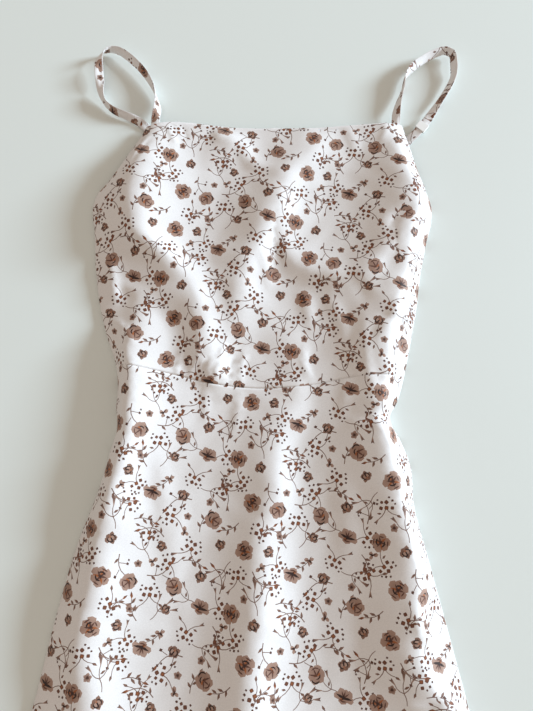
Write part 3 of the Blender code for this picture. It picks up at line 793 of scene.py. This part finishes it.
def cut(loop, shapes, grid, extra=()):
    """Cut a piece of flat cloth into triangles that follow its edge and its print."""
    low, high = loop.min(axis=0), loop.max(axis=0)
    across = np.arange(low[0] + grid / 2, high[0], grid)
    along = np.arange(low[1] + grid / 2, high[1], grid * 0.9)
    mesh_x, mesh_y = np.meshgrid(across, along)
    mesh_x[1::2] += grid / 2
    dots = np.stack([mesh_x.ravel(), mesh_y.ravel()], axis=-1)
    points = [loop, dots, *([np.asarray(extra)] if len(extra) else ())]
    faces = [list(range(len(loop)))]
    count = sum(len(group) for group in points)
    for shape in shapes:
        points.append(shape.points)
        faces.append(list(range(count, count + len(shape.points))))
        count += len(shape.points)
    flat = np.concatenate(points)
    made, _, triangles, _, _, sources = delaunay_2d_cdt(flat.tolist(), [], faces, 0, 1e-4, True)
    kept = [(face, max(source)) for face, source in zip(triangles, sources) if 0 in source]
    corners = np.array([face for face, _ in kept])
    used, corners = np.unique(corners, return_inverse=True)
    flat = np.array([made[i][:] for i in used])
    return flat, corners.reshape(-1, 3), np.array([source for _, source in kept]) - 1


def edge_loop(corners):
    """The ring of points round a cut piece, in order."""
    edges = np.concatenate([corners[:, [0, 1]], corners[:, [1, 2]], corners[:, [2, 0]]])
    known = set(map(tuple, edges.tolist()))
    after = {a: b for a, b in known if (b, a) not in known}
    ring = [next(iter(after))]
    while after[ring[-1]] != ring[0]:
        ring.append(after[ring[-1]])
    if len(ring) != len(after):
        raise ValueError("the edge of a piece isn't one ring")
    return np.array(ring)


def ink_of(flat, corners, sources, shapes, plain):
    """The colour of every corner of a cut piece."""
    inner = np.array([plain, *(shape.inner for shape in shapes)])
    outer = np.array([plain, *(shape.outer for shape in shapes)])
    centre = np.array([(0, 0), *(shape.centre for shape in shapes)], dtype=float)
    reach = np.array([1, *(shape.reach for shape in shapes)], dtype=float)
    which = sources + 1
    away = np.linalg.norm(flat[corners] - centre[which][:, None], axis=-1)
    part = np.clip(away / reach[which][:, None], 0, 1)[..., None]
    return inner[which][:, None] * (1 - part) + outer[which][:, None] * part


def cloth_shell(name, upper, lower, under_place, over_place, shapes, under_shapes, plain_under):
    """Sew a printed layer and a lower layer into one thin closed piece of cloth."""
    flat, corners, sources = upper
    flat_under, corners_under, sources_under = lower
    over, over_normal = over_place(flat)
    under, under_normal = under_place(flat_under)
    ring, ring_under = edge_loop(corners), edge_loop(corners_under)
    if len(ring) != len(ring_under):
        raise ValueError(f"{name}: the two layers' edges differ")
    nearest = np.argmin(np.linalg.norm(flat_under[ring_under] - flat[ring[0]], axis=1))
    ring_under = np.roll(ring_under, -nearest)
    count = len(flat)
    faces = corners.tolist() + (corners_under[:, ::-1] + count).tolist()
    here, after = ring, np.roll(ring, -1)
    below, below_after = ring_under + count, np.roll(ring_under, -1) + count
    faces += np.stack([after, here, below, below_after], axis=-1).tolist()
    mesh = bpy.data.meshes.new(name)
    points = np.concatenate([over, under]) + np.array([*GARMENT_AT, 0])
    mesh.from_pydata(points.tolist(), [], faces)
    colours = [ink_of(flat, corners, sources, shapes, CLOTH_WHITE).reshape(-1, 3)]
    turned_over = ink_of(flat_under, corners_under, sources_under, under_shapes, plain_under)[:, ::-1]
    colours.append(turned_over.reshape(-1, 3))
    colours.append(np.tile(CLOTH_WHITE, (4 * len(ring), 1)))
    colours = np.concatenate(colours)
    colours = np.concatenate([colours, np.ones((len(colours), 1))], axis=1)
    ink = mesh.attributes.new("print", "FLOAT_COLOR", "CORNER")
    ink.data.foreach_set("color", colours.astype(np.float32).ravel())
    mesh.shade_smooth()
    normals = [over_normal[corners].reshape(-1, 3), under_normal[corners_under[:, ::-1]].reshape(-1, 3)]
    round_edge = np.roll(over[ring], -1, axis=0) - np.roll(over[ring], 1, axis=0)
    outward = np.cross(round_edge, over[ring] - under[ring_under])
    outward /= np.maximum(np.linalg.norm(outward, axis=1, keepdims=True), 1e-12)
    outward_after = np.roll(outward, -1, axis=0)
    normals.append(np.stack([outward_after, outward, outward, outward_after], axis=1).reshape(-1, 3))
    mesh.normals_split_custom_set(np.concatenate(normals).tolist())
    piece = bpy.data.objects.new(name, mesh)
    bpy.context.scene.collection.objects.link(piece)
    mesh.materials.append(printed_cloth)
    return piece


def rows_near(edge, sign, lay):
    """Rows of points close to a sewn or turned edge, where the cloth bends most."""
    x = np.arange(-200, 200, 2.5) * MM
    rows = []
    for away in EDGE_ROWS:
        y = edge(x) + sign * away * MM
        inside = (x > left_side(y) + 2 * MM) & (x < right_side(y) - 2 * MM)
        rows.append(spread(lay, x[inside], y[inside]))
    return np.concatenate(rows)


def front_piece(name, node, bottom, top, lay, grid, print_at, fine):
    low, high = bottom(np.zeros(1))[0], top(np.zeros(1))[0]
    loop = spread(lay, *panel_loop(bottom, top).T)
    shapes = print_over(loop.min(axis=0), loop.max(axis=0), print_at)
    upper = cut(loop, shapes, grid, fine)
    ring = edge_loop(upper[1])
    lower = cut(upper[0][ring], [], INSIDE_GRID)

    def over_place(flat):
        return on_front(*gathered_back(lay, flat))

    def under_place(flat):
        points, normal = over_place(flat)
        return points - CLOTH_THICK * normal, -normal

    piece = cloth_shell(name, upper, lower, under_place, over_place, shapes, [], CLOTH_INSIDE)
    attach(piece, "root")
    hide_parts(node)


half_gap = SEAM_GAP / 2
bodice_lay = lay_of(-30 * MM, 345 * MM)
front_piece(
    "front_bodice", "bodice_front",
    lambda x: waist_seam(x) + half_gap, neckline,
    bodice_lay, PRINT_GRID, BODICE_PRINT_AT,
    np.concatenate([rows_near(waist_seam, 1, bodice_lay), rows_near(neckline, -1, bodice_lay)]),
)

# Front of the skirt
# A flared panel from the waist seam to the hem, in the same cloth. It lies in long
# uneven folds that run from the waist to the hem.
SKIRT_LENGTH = 700 * MM
HEM_RISE = 32 * MM
SKIRT_GRID = 8.0
SKIRT_PRINT_AT = (-22.0, 47.0)


def hem(x):
    """The hem of a flared skirt rises from its middle to its side seams."""
    half = (right_side(-SKIRT_LENGTH) - left_side(-SKIRT_LENGTH)) / 2
    middle = (right_side(-SKIRT_LENGTH) + left_side(-SKIRT_LENGTH)) / 2
    return -SKIRT_LENGTH + HEM_RISE * ((x - middle) / half) ** 2


skirt_lay = lay_of(-705 * MM, 30 * MM)
front_piece(
    "front_skirt", "skirt_front",
    hem, lambda x: waist_seam(x) - half_gap,
    skirt_lay, SKIRT_GRID, SKIRT_PRINT_AT, rows_near(waist_seam, -1, skirt_lay),
)

# Back of the bodice and of the skirt
# The two back panels are cut from the same cloth and lie smooth on the table. The
# back ends in a straight edge below the front's neckline, where the straps are sewn.
SIDE_MARGIN = 1.0 * MM
BACK_THICK = 0.9 * MM
BACK_CREASES = (
    Crease(-120, 20, -60, 90, 0.1, 8.0, 0.55),
    Crease(60, 30, 130, 120, -0.1, 9.0, 0.6),
    Crease(-90, 150, 40, 190, 0.08, 8.0, 0.5),
    Crease(20, 90, 10, 10, 0.05, 7.0, 0.5),
    Crease(-100, -40, -130, -240, 0.05, 12.0, 0.6),
    Crease(30, -30, 20, -300, -0.04, 12.0, 0.6),
    Crease(110, -60, 150, -320, 0.05, 12.0, 0.55),
    Crease(-60, -330, -120, -640, 0.04, 14.0, 0.6),
    Crease(70, -380, 120, -660, -0.04, 14.0, 0.6),
)
BACK_BODICE_PRINT_AT = (70.0, 31.0)
BACK_SKIRT_PRINT_AT = (11.0, 93.0)


def back_rise(flat):
    """How far the back's shallow creases lift it from the table."""
    x, y = flat[:, 0] * MM, flat[:, 1] * MM
    return sum(crease_height(crease, x, y) for crease in BACK_CREASES)


def back_normal(flat):
    """The direction that the back's upper face looks in."""
    across = back_rise(flat + (0.5, 0)) - back_rise(flat - (0.5, 0))
    along = back_rise(flat + (0, 0.5)) - back_rise(flat - (0, 0.5))
    normal = np.stack([-across, -along, np.full(len(flat), 1 * MM)], axis=-1)
    return normal / np.linalg.norm(normal, axis=1, keepdims=True)


def back_piece(name, node, bottom, top, print_at):
    """Cut a back panel and lay it flat, with its printed side down."""
    loop = panel_loop(bottom, top, SIDE_MARGIN) / MM
    shapes = print_over(loop.min(axis=0), loop.max(axis=0), print_at)
    lower = cut(loop, shapes, PRINT_GRID * 2)
    ring = edge_loop(lower[1])
    upper = cut(lower[0][ring], [], INSIDE_GRID)

    def under_place(flat):
        points = np.concatenate([flat * MM, back_rise(flat)[:, None]], axis=1)
        return points, -back_normal(flat)

    def over_place(flat):
        points = np.concatenate([flat * MM, BACK_THICK + back_rise(flat)[:, None]], axis=1)
        return points, back_normal(flat)

    piece = cloth_shell(name, upper, lower, under_place, over_place, [], shapes, CLOTH_WHITE)
    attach(piece, "root")
    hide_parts(node)


back_piece(
    "back_bodice", "bodice_back",
    lambda x: waist_seam(x) + half_gap, lambda x: np.full_like(x, BACK_TOP),
    BACK_BODICE_PRINT_AT,
)
back_piece("back_skirt", "skirt_back", hem, lambda x: waist_seam(x) - half_gap, BACK_SKIRT_PRINT_AT)

# The shoulder straps
# Each strap is a narrow strip of the same cloth, folded in, pressed flat and sewn
# along its open edge. Its front end is sewn at the neckline and its back end at the
# top of the back, and it lies in a loose twisted loop between them.
STRAP_WIDTH = 11.0 * MM
STRAP_THICK = 1.5 * MM
CAD_STRAP_THICK = 1.6 * MM
STRAP_LEAD = 6.0 * MM
TUCKED_IN = 4.0 * MM
TUCKED_UNDER = 1.9 * MM
TABLE_CLEAR = 0.05 * MM
STRAP_STEPS = 72
STRAP_RING_STEP = 3.0
STRAP_ROW_STEP = 1.6
STRAP_COLUMNS = (-0.98, -0.93, -0.84, -0.5, 0, 0.5, 0.70, 0.78, 0.86, 0.93, 0.98)
STRAP_EDGE = 0.22
STRAP_UNEVEN = 0.16 * MM
STRAP_SEAM_DEEP = 0.16 * MM
STRAP_SEAM_WIDE = 0.5 * MM
STRAP_FOLD_AT = 1.6 * MM
STRAP_FOLD_SWAY = 0.8 * MM
STRAP_FOLD_HIGH = 0.30 * MM
STRAP_FOLD_WIDE = 0.7 * MM
STRAP_PRINTS_AT = {"left": ((-19, -49), (-133, -20)), "right": ((-101, -60), (-47, -61))}
PRINT_INSET = 0.3
SMALLEST_PRINT = 0.25
ALMOST_STRAIGHT = 0.05
STITCH_IN = 4.3 * MM
STITCH_LENGTH = 1.9 * MM
STITCH_GAP = 1.0 * MM
FIRST_STITCH = 2.0 * MM
LAST_STITCH = 3.0 * MM
STITCH_THICK = 0.36 * MM
STITCH_SIDES = 6

# The route of each strap: x, y, the height of its middle, and the angle of its
# face from lying flat. Its two sewn ends are added from the neckline and the back.
LEFT_STRAP = (
    (-145, 336, 10, 15), (-145, 348, 9.0, 50), (-148, 361, 8.5, 88), (-163, 391, 8.5, 125),
    (-177, 407, 8.5, 130), (-191, 419, 8.5, 130), (-203, 426, 8.5, 116), (-215, 427, 8.5, 90),
    (-223, 421, 9.5, 58), (-226, 411, 10.5, 22), (-225, 395, 10.5, -8), (-222, 378, 9.5, 0),
    (-219, 362, 8.5, 45), (-214, 351, 7.5, 68), (-203, 341, 6.8, 62), (-182, 332, 6.2, 54),
    (-169, 327, 4.2, 30), (-157, 319, 1.6, 5), (-143, 303, 0.8, 0), (-122, 274, 0.8, 0),
    (-120, 254, 0.8, 0),
)
RIGHT_STRAP = (
    (161, 348, 8.5, -28), (163, 361, 8.5, -52), (170, 387, 8.5, -82), (173, 403, 8.5, -98),
    (180, 414, 9.0, -126), (196, 429, 9.0, -132), (214, 440, 9.0, -125), (226, 444, 9.0, -112),
    (234, 440, 9.0, -112), (236, 427, 9.0, -126), (236, 409, 8.0, -122), (229, 391, 7.2, -131),
    (216, 368, 6.8, -136), (207, 353, 6.0, -158), (201, 343, 5.4, -178), (195, 335, 5.0, -180),
    (189, 327, 4.4, -180), (178, 316, 2.0, -180), (164, 299, 0.8, -180), (129, 270, 0.8, -180),
    (126, 254, 0.8, -180),
)
STRAP_ENDS = {"left": ((-145.5, 0), (-120, 0)), "right": ((161, -20), (126, -180))}

Way = namedtuple("Way", "place centre across face")


def strap_way(front, back, middle):
    """The strap's middle line and its directions, at even steps along it."""
    width = np.linspace(-STRAP_WIDTH / 2, STRAP_WIDTH / 2, 5) + front[0] * MM
    top = (neckline(width).max() + 2 * SEAM_GAP) / MM
    lifts = plain_lift(width, neckline(width))
    height = (BACK_SKIN + SEAM_GAP + lifts.mean()) / MM
    lean = math.degrees(math.atan2(lifts[0] - lifts[-1], STRAP_WIDTH))
    start = (front[0], top - TUCKED_IN / MM, height - TUCKED_UNDER / MM, lean)
    edge = (front[0], top + SEAM_GAP / MM, height - TUCKED_UNDER / MM, lean)
    lead = (front[0], top + STRAP_LEAD / MM, height, (lean + front[1]) / 2)
    end = (back[0], (BACK_TOP + SEAM_GAP) / MM, CAD_STRAP_THICK / 2 / MM, back[1])
    rows = np.array((start, edge, lead, *middle, end), dtype=float)
    gaps = np.linalg.norm(np.diff(rows[:, :3], axis=0), axis=1)
    table = np.column_stack([np.concatenate([[0], np.cumsum(gaps)]), rows])
    at = np.linspace(0, table[-1, 0], STRAP_STEPS + 1) * MM
    centre = np.stack([smooth(at, table, column) for column in (1, 2, 3)], axis=-1)
    turn = np.radians(smooth(at, table, 4) / MM)[:, None]
    reach = np.abs(np.sin(turn)) * STRAP_WIDTH + np.abs(np.cos(turn)) * CAD_STRAP_THICK
    centre[:, 2] = np.maximum(centre[:, 2], reach[:, 0] / 2)
    along = np.gradient(centre, axis=0)
    along /= np.linalg.norm(along, axis=1, keepdims=True)
    level = np.cross((0, 0, 1), along)
    level /= np.linalg.norm(level, axis=1, keepdims=True)
    across = np.cos(turn) * level + np.sin(turn) * np.cross(along, level)
    steps = np.linalg.norm(np.diff(centre, axis=0), axis=1)
    return Way(np.concatenate([[0], np.cumsum(steps)]), centre, across, np.cross(along, across))


def on_way(way, rows, place):
    """Read a row of directions or places at any length along the strap."""
    return np.stack([np.interp(place, way.place, rows[:, k]) for k in range(3)], axis=-1)


def strap_point(way, flat, side):
    """A point of the folded strip: rounded at its edges and a little uneven."""
    x, place = flat[:, 0] * MM, flat[:, 1] * MM
    from_middle = np.clip(np.abs(x) / (STRAP_WIDTH / 2), 0, 1)
    full = STRAP_EDGE + (1 - STRAP_EDGE) * np.sqrt(1 - from_middle**6)
    seam = STRAP_SEAM_DEEP * np.exp(-(((x - STITCH_IN) / STRAP_SEAM_WIDE) ** 2))
    fold_at = STRAP_FOLD_AT + STRAP_FOLD_SWAY * np.sin(place / (17 * MM))
    fold = STRAP_FOLD_HIGH * np.exp(-(((x + fold_at) / STRAP_FOLD_WIDE) ** 2))
    wave = np.sin(place / (4.3 * MM) + x / (2.1 * MM)) + np.sin(place / (7.9 * MM) - x / (3.0 * MM))
    uneven = STRAP_UNEVEN * wave * (1 - from_middle**4)
    off = side * (full * STRAP_THICK / 2 - seam + fold) + uneven
    points = on_way(way, way.centre, place) + on_way(way, way.across, place) * x[:, None]
    points += on_way(way, way.face, place) * off[:, None]
    points[:, 2] = np.maximum(points[:, 2], TABLE_CLEAR)
    return points


def strap_place(way, side):
    """Points and normals of one face of the strip."""

    def place(flat):
        step = 0.15
        points = strap_point(way, flat, side)
        beside = strap_point(way, flat + (step, 0), side) - strap_point(way, flat - (step, 0), side)
        ahead = strap_point(way, flat + (0, step), side) - strap_point(way, flat - (0, step), side)
        normal = np.cross(beside, ahead) * side
        outward = on_way(way, way.face, flat[:, 1] * MM) * side
        normal *= np.sign((normal * outward).sum(axis=1, keepdims=True))
        return points, normal / np.linalg.norm(normal, axis=1, keepdims=True)

    return place


def trimmed(shape, low, high):
    """A petal cut off where it would cross the strip's edge, or any shape that fits."""
    points = shape.points
    if (points.min(axis=0) > low).all() and (points.max(axis=0) < high).all():
        return shape
    before, after = points - np.roll(points, 1, axis=0), np.roll(points, -1, axis=0) - points
    if (before[:, 0] * after[:, 1] - before[:, 1] * after[:, 0]).min() < -ALMOST_STRAIGHT:
        return None
    for axis, limit, sign in ((0, low[0], 1), (1, low[1], 1), (0, high[0], -1), (1, high[1], -1)):
        kept = []
        for here, ahead in zip(points, np.roll(points, -1, axis=0)):
            a, b = sign * (here[axis] - limit), sign * (ahead[axis] - limit)
            if a >= 0:
                kept.append(here)
            if a * b < 0:
                kept.append(here + (ahead - here) * a / (a - b))
        if len(kept) < 3:
            return None
        points = np.array(kept)
    return shape._replace(points=points)


def strap_piece(side_name, middle):
    way = strap_way(*STRAP_ENDS[side_name], middle)
    half, length = STRAP_WIDTH / 2 / MM, way.place[-1] / MM
    even = np.linspace(0, length, round(length / STRAP_RING_STEP) + 1)
    right = np.stack([np.full_like(even, half), even], axis=-1)
    loop = np.concatenate([right, (right * (-1, 1))[::-1]])
    rows = np.arange(1.2, length - 1.0, STRAP_ROW_STEP)
    extra = np.stack(np.meshgrid(half * np.array(STRAP_COLUMNS), rows), axis=-1).reshape(-1, 2)
    low, high = loop.min(axis=0), loop.max(axis=0)
    over_at, under_at = STRAP_PRINTS_AT[side_name]
    shapes = print_over(low, high, over_at)
    upper = cut(loop, shapes, PRINT_GRID, extra)
    reached = print_over(low, high, under_at)
    inside = [trimmed(shape, low + PRINT_INSET, high - PRINT_INSET) for shape in reached]
    inside = [shape for shape in inside if shape and area_of(shape.points) > SMALLEST_PRINT]
    lower = cut(upper[0][edge_loop(upper[1])], inside, PRINT_GRID, extra)
    piece = cloth_shell(
        f"{side_name}_strap", upper, lower, strap_place(way, 1), strap_place(way, -1),
        shapes, inside, CLOTH_WHITE,
    )
    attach(piece, "root")
    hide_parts(f"strap_{side_name}")
    return way


thread_white = bpy.data.materials.new("thread_white")
thread_white.use_nodes = True
twist = thread_white.node_tree.nodes
spun = twist["Principled BSDF"]
spun.inputs["Roughness"].default_value = 0.55
ply = twist.new("ShaderNodeTexWave")
ply.inputs["Scale"].default_value = 900.0
ply_tones = twist.new("ShaderNodeValToRGB")
ply_tones.color_ramp.elements[0].color = (0.66, 0.62, 0.59, 1)
ply_tones.color_ramp.elements[1].color = (0.82, 0.80, 0.78, 1)
thread_white.node_tree.links.new(ply.outputs["Fac"], ply_tones.inputs["Fac"])
thread_white.node_tree.links.new(ply_tones.outputs["Color"], spun.inputs["Base Color"])


def sewn_thread(name, ends, lifts):
    """Short rounded stitches, each between two points and raised along its lift."""
    turn = np.linspace(0, 2 * math.pi, STITCH_SIDES, endpoint=False)
    profile = ((0.0, 0.25), (0.18, 0.85), (0.5, 1.0), (0.82, 0.85), (1.0, 0.25))
    points, faces = [], []
    for (start, end), lift in zip(ends, lifts):
        run = end - start
        side = np.cross(run, lift)
        side /= np.linalg.norm(side)
        first = len(points)
        for part, thick in profile:
            middle = start + run * part + lift * STITCH_THICK * (0.15 + 0.5 * math.sin(math.pi * part))
            for angle in turn:
                ray = math.cos(angle) * side + math.sin(angle) * lift
                points.append(middle + ray * thick * STITCH_THICK / 2)
        for ring in range(len(profile) - 1):
            low = first + ring * STITCH_SIDES
            high = low + STITCH_SIDES
            for side_number in range(STITCH_SIDES):
                following = (side_number + 1) % STITCH_SIDES
                faces.append((low + side_number, low + following, high + following, high + side_number))
        last = first + (len(profile) - 1) * STITCH_SIDES
        faces.append(tuple(range(first, first + STITCH_SIDES))[::-1])
        faces.append(tuple(range(last, last + STITCH_SIDES)))
    mesh = bpy.data.meshes.new(name)
    points = np.array(points) + np.array([*GARMENT_AT, 0])
    points[:, 2] = np.maximum(points[:, 2], TABLE_CLEAR)
    mesh.from_pydata(points.tolist(), [], faces)
    mesh.shade_smooth()
    mesh.materials.append(thread_white)
    piece = bpy.data.objects.new(name, mesh)
    bpy.context.scene.collection.objects.link(piece)
    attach(piece, "root")


def strap_stitches(side_name, way):
    """A row of stitches along the strap's open edge, on both of its faces."""
    starts = np.arange(FIRST_STITCH, way.place[-1] - LAST_STITCH, STITCH_LENGTH + STITCH_GAP)
    ends, lifts = [], []
    for side in (1, -1):
        flat = np.stack([np.full_like(starts, STITCH_IN), starts], axis=-1) / MM
        begin, lift = strap_place(way, side)(flat)
        finish, _ = strap_place(way, side)(flat + (0, STITCH_LENGTH / MM))
        ends += list(zip(begin, finish))
        lifts += list(lift)
    sewn_thread(f"{side_name}_strap_stitches", ends, lifts)


left_way = strap_piece("left", LEFT_STRAP)
right_way = strap_piece("right", RIGHT_STRAP)
strap_stitches("left", left_way)
strap_stitches("right", right_way)

# The hem's stitches and a loose thread
# The skirt's hem is turned up and sewn with one row of stitches. A short end of
# thread stands up from the neckline beside the left strap, as it was left.
HEM_TURN = 12 * MM
HEM_STITCH = 2.6 * MM
HEM_STEP = 3.6 * MM
HEM_ENDS = 8 * MM
THREAD_FOOT = (-117, 317.5)
LOOSE_THREAD = ((-117, 318.5, 0.4), (-118.2, 320.6, 1.6), (-117.2, 322.6, 3.0), (-115.2, 323.8, 3.4))

hem_row = -690 * MM
hem_x = np.arange(left_side(hem_row) + HEM_ENDS, right_side(hem_row) - HEM_ENDS, HEM_STEP)
hem_start, hem_lift = on_front(hem_x, hem(hem_x) + HEM_TURN)
hem_end, _ = on_front(hem_x + HEM_STITCH, hem(hem_x + HEM_STITCH) + HEM_TURN)
sewn_thread("hem_stitches", list(zip(hem_start, hem_end)), list(hem_lift))

thread_foot, _ = on_front(*(np.array([number * MM]) for number in THREAD_FOOT))
thread_rows = np.array(LOOSE_THREAD) * MM
thread_rows[:, 2] += thread_foot[0, 2] - 0.4 * MM
thread_ends = list(zip(thread_rows[:-1], thread_rows[1:]))
sewn_thread("loose_thread", thread_ends, [np.array((0.6, -0.3, 0.74))] * len(thread_ends))

# The strap's slider
# A small moulded slider of glossy white plastic, round the right strap just above
# the back's edge. Its corners are rounded by the mould.
SLIDER_ROUND = 0.35 * MM
SLIDER_JOIN = 0.01 * MM

slider_white = bpy.data.materials.new("slider_white")
slider_white.use_nodes = True
moulded = slider_white.node_tree.nodes
gloss = moulded["Principled BSDF"]
gloss.inputs["Roughness"].default_value = 0.22
gloss.inputs["Coat Weight"].default_value = 0.3
clouds = moulded.new("ShaderNodeTexNoise")
clouds.inputs["Scale"].default_value = 120.0
milk = moulded.new("ShaderNodeValToRGB")
milk.color_ramp.elements[0].color = (0.90, 0.90, 0.89, 1)
milk.color_ramp.elements[1].color = (0.95, 0.95, 0.94, 1)
slider_white.node_tree.links.new(clouds.outputs["Fac"], milk.inputs["Fac"])
slider_white.node_tree.links.new(milk.outputs["Color"], gloss.inputs["Base Color"])

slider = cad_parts["strap_slider"]
slider.data.materials.clear()
slider.data.materials.append(slider_white)
joined = slider.modifiers.new("joined faces", "WELD")
joined.merge_threshold = SLIDER_JOIN
rounded = slider.modifiers.new("moulded corners", "BEVEL")
rounded.width = SLIDER_ROUND
rounded.segments = 3
rounded.limit_method = "ANGLE"
rounded.angle_limit = math.radians(40)
